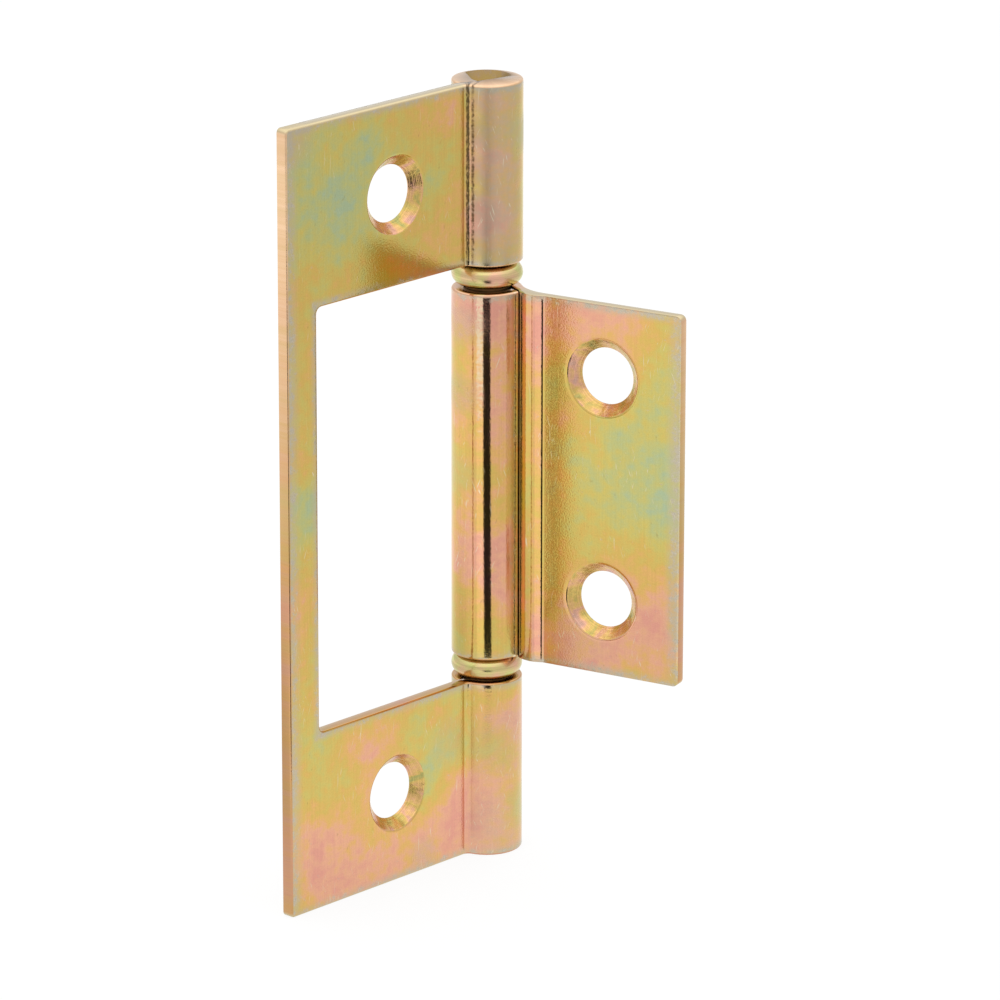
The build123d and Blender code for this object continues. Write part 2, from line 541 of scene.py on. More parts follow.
def chromated_sheet(name, outline, patches, bands, scuffs, painted_light_and_rub_lines):
    """Yellow chromate over bright zinc on rolled steel sheet: a film whose thickness drifts across the
    blank, so gold turns to green where it is thin and to pink where it is thick, as on the cut edges.
    Rolling leaves faint streaks, barrel plating leaves pale scratches and chips the film off along the
    edges, and the bend gets a painted shade. All of it lies on the flat blank, in millimetres from the pin:
    patches and scuffs are discs, bands run up the sheet, and the painted lines run up the roll, dark for
    painted shade in a bend and pale for a painted highlight, partly rubbed film at the seam's end."""
    material, tree, shader = new_material(name)
    sheet = node(tree, "ShaderNodeUVMap", uv_map="sheet").outputs[0]
    place = node(tree, "ShaderNodeSeparateXYZ", {0: sheet})
    cut_edge = node(tree, "ShaderNodeAttribute", attribute_name="worn_edge").outputs["Fac"]

    # Film thickness: a broad drift, clouds of a few millimetres and a fine mottle, then its own patches
    film = 0.47
    for size, detail, swing in ((13.0, 2, 0.4), (3.6, 4, 0.75), (1.0, 4, 0.5)):
        clouds = node(
            tree, "ShaderNodeTexNoise", {"Vector": sheet, "Scale": 1 / size, "Detail": detail}
        )
        swung = node(
            tree, "ShaderNodeMapRange", {0: clouds, 1: 0, 2: 1, 3: -swing / 2, 4: swing / 2}
        )
        film = node(tree, "ShaderNodeMath", {0: film, 1: swung}, operation="ADD")
    for x, z, size, shift in patches:
        away = node(tree, "ShaderNodeVectorMath", {0: sheet, 1: (x, z, 0)}, operation="DISTANCE")
        near = node(
            tree,
            "ShaderNodeMapRange",
            {0: away.outputs["Value"], 1: size, 2: 0, 3: 0, 4: shift},
            interpolation_type="SMOOTHSTEP",
        )
        film = node(tree, "ShaderNodeMath", {0: film, 1: near}, operation="ADD")
    for x, width, shift in bands:
        off = node(tree, "ShaderNodeMath", {0: place.outputs["X"], 1: x}, operation="SUBTRACT")
        off = node(tree, "ShaderNodeMath", {0: off}, operation="ABSOLUTE")
        near = node(tree, "ShaderNodeMapRange", {0: off, 1: width, 2: width / 2, 3: 0, 4: shift})
        film = node(tree, "ShaderNodeMath", {0: film, 1: near}, operation="ADD")
    film = node(tree, "ShaderNodeMath", {0: cut_edge, 1: 0.16, 2: film}, operation="MULTIPLY_ADD")
    tint = node(tree, "ShaderNodeValToRGB", {"Fac": film})
    set_stops(
        tint,
        (
            (0.0, "#a9b893"),
            (0.16, "#b9ba7c"),
            (0.34, "#c9b968"),
            (0.5, "#d2b160"),
            (0.63, "#dcad6b"),
            (0.78, "#e0a888"),
            (0.95, "#da9b88"),
        ),
    )

    # Rolling streaks up the sheet, 0.15 mm wide, and a grain of 0.18 mm
    along = node(tree, "ShaderNodeMapping", {"Vector": sheet, "Scale": (1 / 0.15, 1 / 6.0, 1)})
    streaks = node(tree, "ShaderNodeTexNoise", {"Vector": along, "Scale": 1, "Detail": 2})
    grain = node(tree, "ShaderNodeTexNoise", {"Vector": sheet, "Scale": 1 / 0.18, "Detail": 3})
    texture = node(tree, "ShaderNodeMath", {0: streaks, 1: grain}, operation="ADD")
    tone = node(tree, "ShaderNodeMapRange", {0: texture, 1: 0.7, 2: 1.3, 3: 0.95, 4: 1.05})
    colour = node(
        tree,
        "ShaderNodeMix",
        {0: 1.0, 6: tint.outputs["Color"], 7: tone},
        data_type="RGBA",
        blend_type="MULTIPLY",
    )

    # Scuffed places, where other parts knocked in the barrel
    scuffed = 0.0
    for x, z, size, strength in scuffs:
        away = node(tree, "ShaderNodeVectorMath", {0: sheet, 1: (x, z, 0)}, operation="DISTANCE")
        near = node(
            tree,
            "ShaderNodeMapRange",
            {0: away.outputs["Value"], 1: size, 2: size / 3, 3: 0, 4: strength},
            interpolation_type="SMOOTHSTEP",
        )
        scuffed = node(tree, "ShaderNodeMath", {0: scuffed, 1: near}, operation="MAXIMUM")

    # Pale scratches, 0.1 to 0.2 mm wide and a few millimetres long, more of them on the scuffs
    lines = 0.0
    for direction, width, length in ((-0.04, 0.22, 3.6), (-0.35, 0.16, 2.0), (0.3, 0.14, 1.6)):
        run = node(
            tree,
            "ShaderNodeMapping",
            {"Vector": sheet, "Rotation": (0, 0, direction), "Scale": (width, length, 1)},
            vector_type="TEXTURE",
        )
        run = node(
            tree, "ShaderNodeTexNoise", {"Vector": run, "Scale": 1, "Detail": 2, "Distortion": 0.5}
        )
        run = node(tree, "ShaderNodeMapRange", {0: run, 1: 0.685, 2: 0.74, 3: 0, 4: 1})
        lines = node(tree, "ShaderNodeMath", {0: lines, 1: run}, operation="MAXIMUM")
    handling = node(tree, "ShaderNodeTexNoise", {"Vector": sheet, "Scale": 1 / 7.0, "Detail": 2})
    knocked = node(tree, "ShaderNodeMapRange", {0: handling, 1: 0.42, 2: 0.6, 3: 0, 4: 0.8})
    knocked = node(tree, "ShaderNodeMath", {0: knocked, 1: scuffed}, operation="ADD")
    scratched = node(tree, "ShaderNodeMath", {0: lines, 1: knocked}, operation="MULTIPLY")

    # Olive smears, 0.4 mm wide, where the film took stain
    smear = node(
        tree,
        "ShaderNodeMapping",
        {"Vector": sheet, "Rotation": (0, 0, -0.4), "Scale": (0.4, 1.1, 1)},
        vector_type="TEXTURE",
    )
    stained = node(
        tree, "ShaderNodeTexNoise", {"Vector": smear, "Scale": 1, "Detail": 4, "Roughness": 0.65}
    )
    stained = node(tree, "ShaderNodeMapRange", {0: stained, 1: 0.63, 2: 0.78, 3: 0, 4: 0.6})
    spread = node(tree, "ShaderNodeMapRange", {0: handling, 1: 0.6, 2: 0.4, 3: 0.2, 4: 1})
    stained = node(tree, "ShaderNodeMath", {0: stained, 1: spread}, operation="MULTIPLY")

    # Rubbed film: a grey haze within 1 mm of a cut edge and on the scuffs, with paler chips in it
    height = node(
        tree, "ShaderNodeMath", {0: place.outputs["Y"], 1: outline.middle}, operation="SUBTRACT"
    )
    height = node(tree, "ShaderNodeMath", {0: height}, operation="ABSOLUTE")
    from_end = node(tree, "ShaderNodeMath", {0: outline.half_height, 1: height}, operation="SUBTRACT")
    from_side = node(
        tree, "ShaderNodeMath", {0: place.outputs["X"], 1: outline.reach}, operation="ADD"
    )
    from_seam = node(
        tree, "ShaderNodeMath", {0: outline.seam, 1: place.outputs["X"]}, operation="SUBTRACT"
    )
    from_side = node(tree, "ShaderNodeMath", {0: from_side, 1: 0.6}, operation="MULTIPLY")
    inset = node(tree, "ShaderNodeMath", {0: from_end, 1: from_side}, operation="MINIMUM")
    inset = node(tree, "ShaderNodeMath", {0: inset, 1: from_seam}, operation="MINIMUM")
    if outline.window:
        half_window = outline.window.half_height / MM
        window_edge = outline.window.edge / MM
        over = node(tree, "ShaderNodeMath", {0: height, 1: half_window}, operation="SUBTRACT")
        beside = node(
            tree, "ShaderNodeMath", {0: window_edge, 1: place.outputs["X"]}, operation="SUBTRACT"
        )
        outside = node(tree, "ShaderNodeMath", {0: over, 1: beside}, operation="MAXIMUM")
        inset = node(tree, "ShaderNodeMath", {0: inset, 1: outside}, operation="MINIMUM")
    edging = node(
        tree,
        "ShaderNodeMapRange",
        {0: inset, 1: 1.1, 2: 0.1, 3: 0, 4: 1},
        interpolation_type="SMOOTHSTEP",
    )
    flecks = node(
        tree, "ShaderNodeTexNoise", {"Vector": sheet, "Scale": 1 / 0.9, "Detail": 6, "Roughness": 0.72}
    )
    chipped = node(tree, "ShaderNodeMath", {0: edging, 1: 0.17, 2: flecks}, operation="MULTIPLY_ADD")
    chipped = node(tree, "ShaderNodeMapRange", {0: chipped, 1: 0.63, 2: 0.77, 3: 0, 4: 0.85})
    kept = node(tree, "ShaderNodeMapRange", {0: cut_edge, 1: 0, 2: 1, 3: 1, 4: 0.15})
    chipped = node(tree, "ShaderNodeMath", {0: chipped, 1: kept}, operation="MULTIPLY")
    scratched = node(tree, "ShaderNodeMath", {0: scratched, 1: kept}, operation="MULTIPLY")
    rubbed = node(tree, "ShaderNodeMapRange", {0: handling, 1: 0.6, 2: 0.4, 3: 0.5, 4: 1.0})
    hazed = node(tree, "ShaderNodeMath", {0: edging, 1: rubbed, 2: scuffed}, operation="MULTIPLY_ADD")
    uneven = node(tree, "ShaderNodeMapRange", {0: flecks, 1: 0.35, 2: 0.65, 3: 0.5, 4: 1.2})
    hazed = node(tree, "ShaderNodeMath", {0: hazed, 1: uneven}, operation="MULTIPLY")
    hazed = node(tree, "ShaderNodeMath", {0: hazed, 1: kept}, operation="MULTIPLY")
    bare = node(
        tree,
        "ShaderNodeMix",
        {0: grain, 6: linear("#9b9282"), 7: linear("#dcd4c2")},
        data_type="RGBA",
    )

    # Sheared edges are browner and paler towards the top, partly rubbed film and partly a painted highlight
    # from overhead; the roll's inside and the knuckle ends under the washers get a painted shade
    sheared = node(tree, "ShaderNodeMath", {0: cut_edge, 1: 0.5}, operation="MULTIPLY")
    # Cut edges paler towards the top: partly rubbing, partly a painted highlight
    paled_top_wear_and_light = node(tree, "ShaderNodeMapRange", {0: place.outputs["Y"], 1: -4, 2: 30, 3: 0, 4: 0.8})
    paled_top_wear_and_light = node(tree, "ShaderNodeMath", {0: paled_top_wear_and_light, 1: cut_edge}, operation="MULTIPLY")
    torn = node(tree, "ShaderNodeMapRange", {0: flecks, 1: 0.35, 2: 0.65, 3: 0.65, 4: 1.15})
    paled_top_wear_and_light = node(tree, "ShaderNodeMath", {0: paled_top_wear_and_light, 1: torn}, operation="MULTIPLY")
    on_end = node(tree, "ShaderNodeMapRange", {0: from_end, 1: 0.5, 2: 0.2, 3: 0, 4: 0.8})
    on_plate = node(tree, "ShaderNodeMapRange", {0: place.outputs["X"], 1: -3, 2: -4, 3: 0, 4: 1})
    on_end = node(tree, "ShaderNodeMath", {0: on_end, 1: on_plate}, operation="MULTIPLY")
    on_end = node(tree, "ShaderNodeMath", {0: on_end, 1: cut_edge}, operation="MULTIPLY")
    # Painted shade inside the roll and on the knuckle ends under the washers
    bore_and_washer_shade = node(tree, "ShaderNodeAttribute", attribute_name="bore_and_washer_shade").outputs["Fac"]
    bore_and_washer_shade = node(tree, "ShaderNodeMath", {0: bore_and_washer_shade, 1: 0.75}, operation="MULTIPLY")
    for share, layer in (
        (stained, linear("#86703f")),
        (hazed, linear("#bcb098")),
        (chipped, bare.outputs[2]),
        (sheared, linear("#b48258")),
        (paled_top_wear_and_light, linear("#f1cca8")),
        (on_end, linear("#cabf98")),
        (scratched, linear("#ddd2b6")),
        (bore_and_washer_shade, linear("#7a5c36")),
    ):
        colour = node(
            tree, "ShaderNodeMix", {0: share, 6: colour.outputs[2], 7: layer}, data_type="RGBA"
        )

    # Painted lines along the roll, broken into flecks of 0.4 mm: painted shade in a bend, or a painted
    # highlight, partly rubbed film at the seam's end
    broken = node(tree, "ShaderNodeTexNoise", {"Vector": sheet, "Scale": 1 / 0.4, "Detail": 4})
    for x, low, high, width, depth, mark in painted_light_and_rub_lines:
        off = node(tree, "ShaderNodeMath", {0: place.outputs["X"], 1: x}, operation="SUBTRACT")
        off = node(tree, "ShaderNodeMath", {0: off}, operation="ABSOLUTE")
        line = node(tree, "ShaderNodeMapRange", {0: off, 1: width, 2: width / 3, 3: 0, 4: 1})
        ends = node(
            tree, "ShaderNodeMapRange", {0: place.outputs["Y"], 1: low, 2: high, 3: 0, 4: depth}
        )
        line = node(tree, "ShaderNodeMath", {0: line, 1: ends}, operation="MULTIPLY")
        line = node(tree, "ShaderNodeMath", {0: line, 1: broken}, operation="ADD")
        line = node(tree, "ShaderNodeMapRange", {0: line, 1: 0.9, 2: 1.2, 3: 0, 4: 0.85})
        colour = node(
            tree, "ShaderNodeMix", {0: line, 6: colour.outputs[2], 7: linear(mark)}, data_type="RGBA"
        )
    tree.links.new(colour.outputs[2], shader.inputs["Base Color"])

    # Gloss: bright film, duller where it is streaked, chipped or scuffed, over a faintly grainy sheet
    gloss = node(tree, "ShaderNodeMapRange", {0: texture, 1: 0.7, 2: 1.3, 3: 0.05, 4: 0.12})
    gloss = node(tree, "ShaderNodeMath", {0: chipped, 1: 0.2, 2: gloss}, operation="MULTIPLY_ADD")
    gloss = node(tree, "ShaderNodeMath", {0: scuffed, 1: 0.55, 2: gloss}, operation="MULTIPLY_ADD")
    tree.links.new(gloss.outputs[0], shader.inputs["Roughness"])
    marks = node(tree, "ShaderNodeMath", {0: scratched, 1: chipped}, operation="ADD")
    relief = node(tree, "ShaderNodeMath", {0: marks, 1: -0.15, 2: grain}, operation="MULTIPLY_ADD")
    bump = node(
        tree, "ShaderNodeBump", {"Height": relief, "Strength": 1.0, "Distance": 0.006 * MM}
    )
    tree.links.new(bump.outputs[0], shader.inputs["Normal"])
    return material


def turned_countersink(name):
    """The same plating in a countersink: the cutter chattered, so the cone is a ring of small facets that
    flash pale or dark, under fine rings 0.09 mm apart and a film from olive through gold to pink."""
    material, tree, shader = new_material(name)
    sheet = node(tree, "ShaderNodeUVMap", uv_map="sheet").outputs[0]
    spoke = node(tree, "ShaderNodeAttribute", attribute_name="hole_spoke").outputs["Fac"]
    clouds = node(
        tree, "ShaderNodeTexNoise", {"Vector": sheet, "Scale": 1 / 1.5, "Detail": 4, "Distortion": 0.6}
    )
    film = node(tree, "ShaderNodeMapRange", {0: clouds, 1: 0.3, 2: 0.7, 3: 0, 4: 1})
    tint = node(tree, "ShaderNodeValToRGB", {"Fac": film})
    set_stops(
        tint, ((0.0, "#a9a566"), (0.3, "#d0b166"), (0.55, "#dcb078"), (0.78, "#d9a58c"), (1.0, "#c9a08e"))
    )
    wander = node(tree, "ShaderNodeMath", {0: clouds, 1: 0.3, 2: spoke}, operation="MULTIPLY_ADD")
    rings = node(
        tree, "ShaderNodeTexNoise", {"W": wander, "Scale": 1 / 0.09, "Detail": 1}, noise_dimensions="1D"
    )
    specks = node(tree, "ShaderNodeTexNoise", {"Vector": sheet, "Scale": 1 / 0.22, "Detail": 3})
    texture = node(tree, "ShaderNodeMath", {0: rings, 1: specks}, operation="ADD")
    tone = node(tree, "ShaderNodeMapRange", {0: texture, 1: 0.7, 2: 1.3, 3: 0.86, 4: 1.08})
    colour = node(
        tree,
        "ShaderNodeMix",
        {0: 1.0, 6: tint.outputs["Color"], 7: tone},
        data_type="RGBA",
        blend_type="MULTIPLY",
    )
    tree.links.new(colour.outputs[2], shader.inputs["Base Color"])
    gloss = node(tree, "ShaderNodeMapRange", {0: texture, 1: 0.7, 2: 1.3, 3: 0.3, 4: 0.16})
    tree.links.new(gloss.outputs[0], shader.inputs["Roughness"])
    facets = node(
        tree, "ShaderNodeTexVoronoi", {"Vector": sheet, "Scale": 1 / 1.1}, voronoi_dimensions="2D"
    )
    relief = node(
        tree,
        "ShaderNodeMath",
        {0: facets.outputs["Distance"], 1: 4.5, 2: texture},
        operation="MULTIPLY_ADD",
    )
    bump = node(tree, "ShaderNodeBump", {"Height": relief, "Strength": 1.0, "Distance": 0.012 * MM})
    tree.links.new(bump.outputs[0], shader.inputs["Normal"])
    return material


def chromated_turning(name, thin, thick, gloss_range):
    """Yellow chromate on a small turned part: a bright film from green to pink in clouds of 2 mm, with
    fine turning lines round the axis."""
    material, tree, shader = new_material(name)
    place = node(tree, "ShaderNodeTexCoord").outputs["Object"]
    drift = node(tree, "ShaderNodeTexNoise", {"Vector": place, "Scale": 1 / (2.2 * MM), "Detail": 3})
    film = node(tree, "ShaderNodeMapRange", {0: drift, 1: 0.38, 2: 0.66, 3: 0, 4: 1})
    tint = node(
        tree, "ShaderNodeMix", {0: film, 6: linear(thin), 7: linear(thick)}, data_type="RGBA"
    )
    line_scale = (1 / (4 * MM), 1 / (4 * MM), 1 / (0.14 * MM))
    around = node(tree, "ShaderNodeMapping", {"Vector": place, "Scale": line_scale})
    lines = node(tree, "ShaderNodeTexNoise", {"Vector": around, "Scale": 1, "Detail": 2})
    tone = node(tree, "ShaderNodeMapRange", {0: lines, 1: 0.3, 2: 0.7, 3: 0.86, 4: 1.06})
    colour = node(
        tree,
        "ShaderNodeMix",
        {0: 1.0, 6: tint.outputs[2], 7: tone},
        data_type="RGBA",
        blend_type="MULTIPLY",
    )
    tree.links.new(colour.outputs[2], shader.inputs["Base Color"])
    low, high = gloss_range
    gloss = node(tree, "ShaderNodeMapRange", {0: lines, 1: 0.3, 2: 0.7, 3: high, 4: low})
    tree.links.new(gloss.outputs[0], shader.inputs["Roughness"])
    bump = node(tree, "ShaderNodeBump", {"Height": lines, "Strength": 0.3, "Distance": 0.008 * MM})
    tree.links.new(bump.outputs[0], shader.inputs["Normal"])
    return material


def add_stage(bm, name, material):
    """Put a mesh in the scene as part of the stage around the hinge."""
    mesh = bpy.data.meshes.new(name)
    bm.to_mesh(mesh)
    bm.free()
    mesh.materials.append(material)
    staged = bpy.data.objects.new(name, mesh)
    bpy.context.scene.collection.objects.link(staged)
    return staged


def lay_card(name, strength, front, near, far):
    """A card on the floor that only the plating sees. Its near and far ends each give a distance from the
    pin, and the angles of their left and right corners from the front, in degrees."""
    material = bpy.data.materials.new(name)
    tree = empty_tree(material)
    face = node(tree, "ShaderNodeEmission", {"Color": (1, 1, 1, 1), "Strength": strength})
    node(tree, "ShaderNodeOutputMaterial", {"Surface": face})
    bm = bmesh.new()
    bmesh.ops.create_grid(bm, x_segments=1, y_segments=1, size=1.0)
    for vert in bm.verts:
        distance, left, right = far if vert.co.x > 0 else near
        turn = front + radians(right if vert.co.y > 0 else left)
        vert.co = (distance * cos(turn), distance * sin(turn), 0)
    bmesh.ops.translate(bm, verts=bm.verts, vec=(pin_point.x, pin_point.y, outer_low.z + card_lift))
    card = add_stage(bm, name, material)
    card.visible_camera = False
    card.visible_diffuse = False
    card.visible_shadow = False


# The two leaves: their sections, and their outlines on the flat
window = SimpleNamespace(edge=-window_reach, half_height=window_half_height)
outer_section = rolled_section(outer_bend_inside, outer_seam_gap, straight_end=0.0, overrun=0.0)
inner_section = rolled_section(inner_bend_inside, inner_seam_gap, roll_straight_end, roll_overrun)
inner_middle = (inner_low.z + inner_high.z) / 2
outer_outline = SimpleNamespace(
    reach=outer_reach / MM,
    half_height=half_height / MM,
    middle=0.0,
    seam=outer_section.seam / MM,
    window=window,
)
inner_outline = SimpleNamespace(
    reach=inner_reach / MM,
    half_height=(inner_high.z - inner_low.z) / 2 / MM,
    middle=inner_middle / MM,
    seam=inner_section.seam / MM,
    window=None,
)

# Finishes, in millimetres on the flat: patches of thicker or thinner film as x, z, size and change
outer_patches = (
    (-21.0, 30.8, 12.0, -0.34),
    (-17.0, 34.0, 4.5, -0.16),
    (-7.5, 30.5, 5.0, -0.14),
    (-5.0, 25.0, 6.0, 0.16),
    (-6.5, 37.0, 5.0, 0.12),
    (-25.2, 1.5, 6.0, -0.36),
    (-26.0, -7.0, 6.0, 0.12),
    (-23.5, -23.0, 5.0, -0.12),
    (-16.0, -25.5, 7.0, 0.14),
    (-20.0, -29.0, 9.0, 0.06),
    (-9.0, -27.0, 5.0, -0.14),
    (-24.0, -33.5, 8.0, 0.38),
    (-18.0, -37.0, 7.5, 0.28),
    (-12.0, -36.5, 7.0, 0.22),
    (-4.5, -33.5, 7.0, 0.3),
    (-8.0, -35.5, 6.0, 0.14),
    (0.5, 30.0, 10.0, 0.12),
    (-0.8, 36.5, 3.0, 0.3),
    (-0.8, 31.0, 3.4, 0.4),
    (-0.8, 25.5, 3.6, 0.4),
    (1.9, 33.0, 4.0, -0.25),
    (2.4, 27.5, 4.0, -0.14),
    (0.0, -34.0, 9.0, 0.3),
    (1.9, -33.5, 3.2, -0.3),
    (1.7, -24.5, 4.2, 0.36),
)
inner_patches = (
    (-17.3, 2.0, 11.0, -0.36),
    (-19.5, 11.0, 6.0, -0.14),
    (-12.0, 18.0, 9.0, 0.46),
    (-17.0, -11.0, 8.5, 0.34),
    (-11.0, -17.5, 8.0, 0.38),
    (-9.0, 2.0, 5.0, -0.08),
    (-4.0, 15.0, 7.0, 0.3),
    (-4.0, -15.0, 7.0, 0.22),
    (11.0, 17.0, 9.0, 0.42),
    (12.5, 6.0, 8.0, 0.3),
    (12.2, -8.0, 8.0, 0.36),
    (10.5, -14.0, 6.0, 0.1),
    (8.0, -14.0, 5.0, -0.12),
    (-18.5, -15.0, 6.0, 0.14),
)

# Painted lines up the sheet, of shade or highlight, as x, the heights that it fades in between, half width,
# depth and colour
# The outer leaf's lines are painted shade down the bend of its top knuckle
outer_painted_shade_lines = (
    (-3.0, 16.0, 22.0, 0.6, 0.7, "#4a3a22"),
    (-2.2, 16.0, 22.0, 0.24, 0.6, "#5a4630"),
)
# The inner leaf's lines: a painted highlight down the front of the middle knuckle, and a pale seam end that
# is partly rubbed film and partly a painted highlight
inner_painted_highlight_and_rub_lines = (
    (10.65, -4.0, 10.0, 0.6, 0.6, "#d8c4a4"),
    (13.8, -40.0, -30.0, 0.3, 0.62, "#e2d6b8"),
)

# Scuffs as x, z, size and strength, and bands as x, half width and change of film
outer_scuffs = (
    (-0.2, 37.0, 4.0, 0.55),
    (-0.2, 33.5, 4.0, 0.6),
    (-0.2, 30.0, 4.0, 0.55),
    (-0.2, 26.5, 4.0, 0.6),
    (-0.2, 23.0, 4.0, 0.55),
    (2.4, 33.0, 3.0, 0.45),
    (1.4, -35.0, 6.0, 0.3),
    (1.4, -27.0, 6.0, 0.25),
    (-26.5, 37.0, 3.6, 0.5),
    (-6.0, -26.0, 3.4, 0.2),
    (-9.5, -36.5, 2.4, 0.3),
)
inner_bands = ((-5.95, 0.6, 0.14), (-7.5, 0.8, -0.08))
inner_scuffs = (
    (8.8, 15.0, 3.0, 0.35),
    (8.6, 8.0, 2.8, 0.3),
    (8.8, 0.0, 2.6, 0.15),
    (-10.0, -15.0, 5.0, 0.1),
)

# The finishes; the pin is painted a dull dark brown, a painted shade for its ends in the mouths
outer_finish = chromated_sheet(
    "yellow chromated zinc sheet, outer leaf",
    outer_outline,
    outer_patches,
    (),
    outer_scuffs,
    outer_painted_shade_lines,
)
inner_finish = chromated_sheet(
    "yellow chromated zinc sheet, inner leaf",
    inner_outline,
    inner_patches,
    inner_bands,
    inner_scuffs,
    inner_painted_highlight_and_rub_lines,
)
countersink_finish = turned_countersink("yellow chromated zinc, turned countersink")
washer_finish = chromated_turning(
    "yellow chromated zinc, turned washer", "#c6c47c", "#dfae92", (0.16, 0.3)
)
# The pin's dark brown is painted shade for the mouths
pin_shaded_finish = chromated_turning("drawn steel pin, painted dark as shade in the mouths", "#5e4a30", "#7d6240", (0.3, 0.45))

# Outer leaf: the blank is a frame around the window, open where the inner leaf's knuckle goes
outer_holes = [Vector((-outer_hole_reach, 0, side * outer_hole_height)) for side in (-1, 1)]
outer_columns = spaced(
    -outer_reach,
    (window.edge, 3),
    (outer_holes[0].x - hole_patch, 3),
    (outer_holes[0].x + hole_patch, hole_patch_steps),
    (-outer_section.bend_x, 3),
    (outer_section.roll_start, 8),
    (outer_section.seam, 72),
)
outer_rows_up = spaced(
    0.0,
    (window.half_height, 8),
    (outer_hole_height - hole_patch, 3),
    (outer_hole_height + hole_patch, hole_patch_steps),
    (half_height - mouth_rows[0], 2),
    (half_height - mouth_rows[1], 1),
    (half_height - stake_depth, 1),
    (half_height, 1),
)
outer_rows = [-row for row in reversed(outer_rows_up[1:])] + outer_rows_up
blank = flat_blank(outer_columns, outer_rows, window, outer_holes)
thicken(blank, outer_holes, sunk_side=-1)
outer_corners = [(-outer_reach, side * half_height, outer_corner_radius) for side in (-1, 1)]
outer_corners += [(window.edge, side * window.half_height, window_corner_radius) for side in (-1, 1)]
ease_blank(blank, outer_corners, window, outer_holes)
window_margin = flat_margin + window_edge_round - outline_edge_round
outer_lines = [(flat_margin - outer_reach, (1, 0, 0)), (window.edge - window_margin, (1, 0, 0))]
for side in (-1, 1):
    outer_lines.append((side * (half_height - flat_margin), (0, 0, 1)))
    outer_lines.append((side * (window.half_height + window_margin), (0, 0, 1)))
hold_flats(blank, outer_lines)
map_sheet(blank, outer_section, outer_holes)
roll_up(blank, outer_section)
stake_ends(blank, outer_section)
bmesh.ops.translate(blank, verts=blank.verts, vec=pin_point)
add_piece(
    blank, "outer_leaf_sheet", "outer_leaf", "outer", (outer_finish, countersink_finish)
)

# Inner leaf: a plain rectangle with one tall knuckle, countersunk on the side away from its bend
inner_holes = [
    Vector((-inner_hole_reach, 0, inner_middle + side * inner_hole_height)) for side in (-1, 1)
]

# The shoulder's profile: places from the pin and rises, and the grid's steps up to each place
shoulder = [
    (x * MM, rise * MM)
    for x, rise in (
        (-6.46, 0),
        (-6.31, 0.085),
        (-5.62, 0.31),
        (-5.35, 0.36),
        (-4.75, 0.37),
        (-4.2, 0.34),
        (-3.85, 0.2),
        (-3.6, 0),
    )
]
shoulder_lead = 0.2 * MM
shoulder_steps = (1, 2, 4, 3, 4, 3, 3, 2)
inner_columns = spaced(
    -inner_reach,
    (inner_holes[0].x - hole_patch, 3),
    (inner_holes[0].x + hole_patch, hole_patch_steps),
    (shoulder[0][0] - shoulder_lead, 2),
    *[(x, steps) for (x, rise), steps in zip(shoulder, shoulder_steps)],
    (inner_section.roll_start, 12),
    (inner_section.straight_from, 66),
    (inner_section.seam, 4),
)
inner_rows = spaced(
    inner_low.z,
    (inner_holes[0].z - hole_patch, 2),
    (inner_holes[0].z + hole_patch, hole_patch_steps),
    (inner_holes[1].z - hole_patch, 8),
    (inner_holes[1].z + hole_patch, hole_patch_steps),
    (inner_high.z, 2),
)
blank = flat_blank(inner_columns, inner_rows, None, inner_holes)
thicken(blank, inner_holes, sunk_side=1)
inner_corners = [(-inner_reach, z, inner_corner_radius) for z in (inner_low.z, inner_high.z)]
ease_blank(blank, inner_corners, None, inner_holes)
inner_lines = [
    (flat_margin - inner_reach, (1, 0, 0)),
    (inner_low.z + flat_margin, (0, 0, 1)),
    (inner_high.z - flat_margin, (0, 0, 1)),
]
hold_flats(blank, inner_lines)
map_sheet(blank, inner_section, inner_holes)
press_shoulder(blank, shoulder)
roll_up(blank, inner_section)
opened = Matrix.Rotation(open_angle, 3, "Z")
bmesh.ops.rotate(blank, verts=blank.verts, cent=(0, 0, 0), matrix=opened)
bmesh.ops.translate(blank, verts=blank.verts, vec=pin_point)
add_piece(
    blank, "inner_leaf_sheet", "inner_leaf", "inner", (inner_finish, countersink_finish)
)

# Bearing washers, one each side of the middle knuckle
for place in ("lower", "upper"):
    washer_low, washer_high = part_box(place + "_washer")
    add_piece(
        round_rim_washer(washer_low.z, washer_high.z),
        place + "_bearing_washer",
        place + "_washer",
        place + "_bearing",
        (washer_finish,),
    )

# Hinge pin, seen in the mouths of the outer leaf's knuckles
pin_low, pin_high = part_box("hinge_pin")
add_piece(
    chamfered_rod(pin_low.z, pin_high.z), "pin_rod", "hinge_pin", "outer", (pin_shaded_finish,)
)

# Pale floor: white to the camera, with the hinge's own soft shadow on it. The plating sees it a little
# brighter near the hinge, and duller toward the front right and behind the outer leaf.
floor_half_size = 3.0
paper_glow = 0.9
paper_fall = radians(-80)
floor_paper = bpy.data.materials.new("white paper sweep")
tree = empty_tree(floor_paper)
path = node(tree, "ShaderNodeLightPath")
seen = node(
    tree,
    "ShaderNodeMath",
    {0: path.outputs["Is Camera Ray"], 1: path.outputs["Is Glossy Ray"]},
    operation="MAXIMUM",
)
seen = node(
    tree, "ShaderNodeMath", {0: seen, 1: path.outputs["Is Transmission Ray"]}, operation="MAXIMUM"
)
share = node(tree, "ShaderNodeMath", {0: seen, 1: paper_glow}, operation="MULTIPLY")
spot = node(tree, "ShaderNodeTexCoord").outputs["Object"]
forward = node(
    tree,
    "ShaderNodeVectorMath",
    {0: spot, 1: (cos(paper_fall), sin(paper_fall), 0)},
    operation="DOT_PRODUCT",
)
fall = node(
    tree,
    "ShaderNodeMapRange",
    {0: forward.outputs["Value"], 1: -90 * MM, 2: 190 * MM, 3: -0.15, 4: 0.18},
)
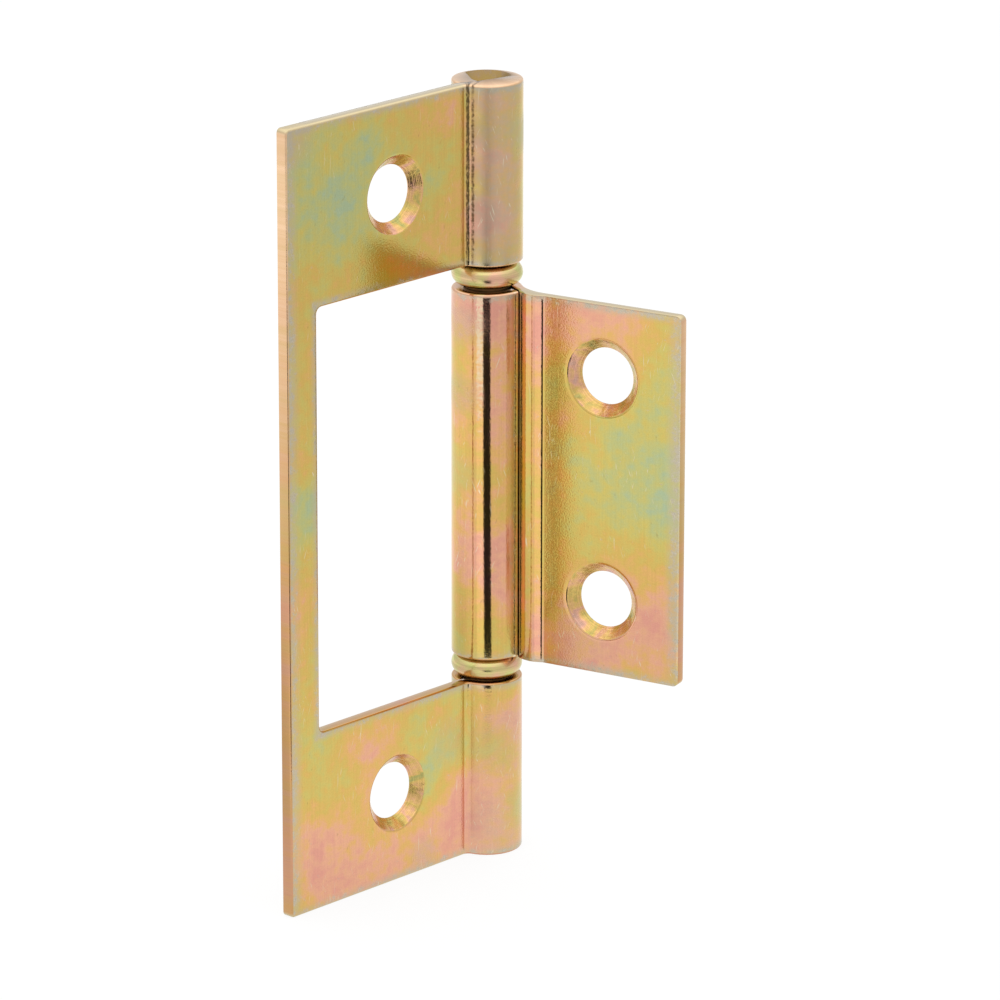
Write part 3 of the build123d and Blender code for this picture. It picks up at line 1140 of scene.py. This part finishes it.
for centre, size, change in (
    ((pin_point.x, pin_point.y, outer_low.z), 80 * MM, -0.09),
    ((-24 * MM, 47 * MM, outer_low.z), 80 * MM, 0.3),
):
    away = node(tree, "ShaderNodeVectorMath", {0: spot, 1: centre}, operation="DISTANCE")
    near = node(
        tree,
        "ShaderNodeMapRange",
        {0: away.outputs["Value"], 1: size, 2: 0, 3: 0, 4: change},
        interpolation_type="SMOOTHSTEP",
    )
    fall = node(tree, "ShaderNodeMath", {0: fall, 1: near}, operation="ADD")
fall = node(tree, "ShaderNodeMath", {0: fall, 1: path.outputs["Is Glossy Ray"]}, operation="MULTIPLY")
glow_level = node(tree, "ShaderNodeMath", {0: 1.0, 1: fall}, operation="SUBTRACT")
paper = node(tree, "ShaderNodeBsdfDiffuse", {"Color": linear("#fbfbfa")})
glow = node(tree, "ShaderNodeEmission", {"Color": (1, 1, 1, 1), "Strength": glow_level})
floor_mix = node(tree, "ShaderNodeMixShader", {0: share, 1: paper, 2: glow})
node(tree, "ShaderNodeOutputMaterial", {"Surface": floor_mix})
bm = bmesh.new()
bmesh.ops.create_grid(bm, x_segments=1, y_segments=1, size=floor_half_size)
bmesh.ops.translate(bm, verts=bm.verts, vec=(0, 0, outer_low.z))
add_stage(bm, "floor", floor_paper)

# Camera's direction and its right, at the photograph's place
to_camera = Vector((-0.70003, -0.64936, 0.29712))
camera_right = Vector((0.680417, -0.732824, 0.001505))

# Cards on the floor before the hinge: a dark one that draws the line down the middle knuckle, and a
# bright one on its left
front = atan2(to_camera.y, to_camera.x)
lay_card(
    "dark_floor_card", strength=0.03, front=front, near=(58 * MM, -7, 16), far=(255 * MM, -13, 10)
)
lay_card(
    "bright_floor_card", strength=1.25, front=front, near=(58 * MM, -29, -8), far=(228 * MM, -35, -14)
)

# Soft light from a white room: brighter overhead than round the horizon
horizon_level = 0.88
overhead_level = 1.45
world = bpy.data.worlds.new("white room")
bpy.context.scene.world = world
tree = empty_tree(world)
sky = node(tree, "ShaderNodeTexCoord").outputs["Generated"]
rise = node(tree, "ShaderNodeSeparateXYZ", {0: sky})
level = node(
    tree,
    "ShaderNodeMapRange",
    {0: rise.outputs["Z"], 1: 0.25, 2: 0.8, 3: horizon_level, 4: overhead_level},
    interpolation_type="SMOOTHSTEP",
)
room = node(tree, "ShaderNodeBackground", {"Color": (1, 1, 1, 1), "Strength": level})
node(tree, "ShaderNodeOutputWorld", {"Surface": room})

# Camera, fitted to the photograph
camera_distance = 626.06 * MM
sensor_width = 36.0
focal_ratio = 6.56965
aim_offset = Vector((0.8484, -0.9146, -3.2533)) * MM
camera_up = to_camera.cross(camera_right)
camera_aim = pin_point + aim_offset
camera_place = camera_aim + to_camera * camera_distance
camera_data = bpy.data.cameras.new("camera")
camera_data.sensor_width = sensor_width
camera_data.lens = sensor_width * focal_ratio
camera = bpy.data.objects.new("camera", camera_data)
bpy.context.scene.collection.objects.link(camera)
turn = Matrix((camera_right, camera_up, to_camera)).transposed().to_4x4()
camera.matrix_world = Matrix.Translation(camera_place) @ turn
bpy.context.scene.camera = camera

bpy.context.scene.view_settings.view_transform = "Standard"
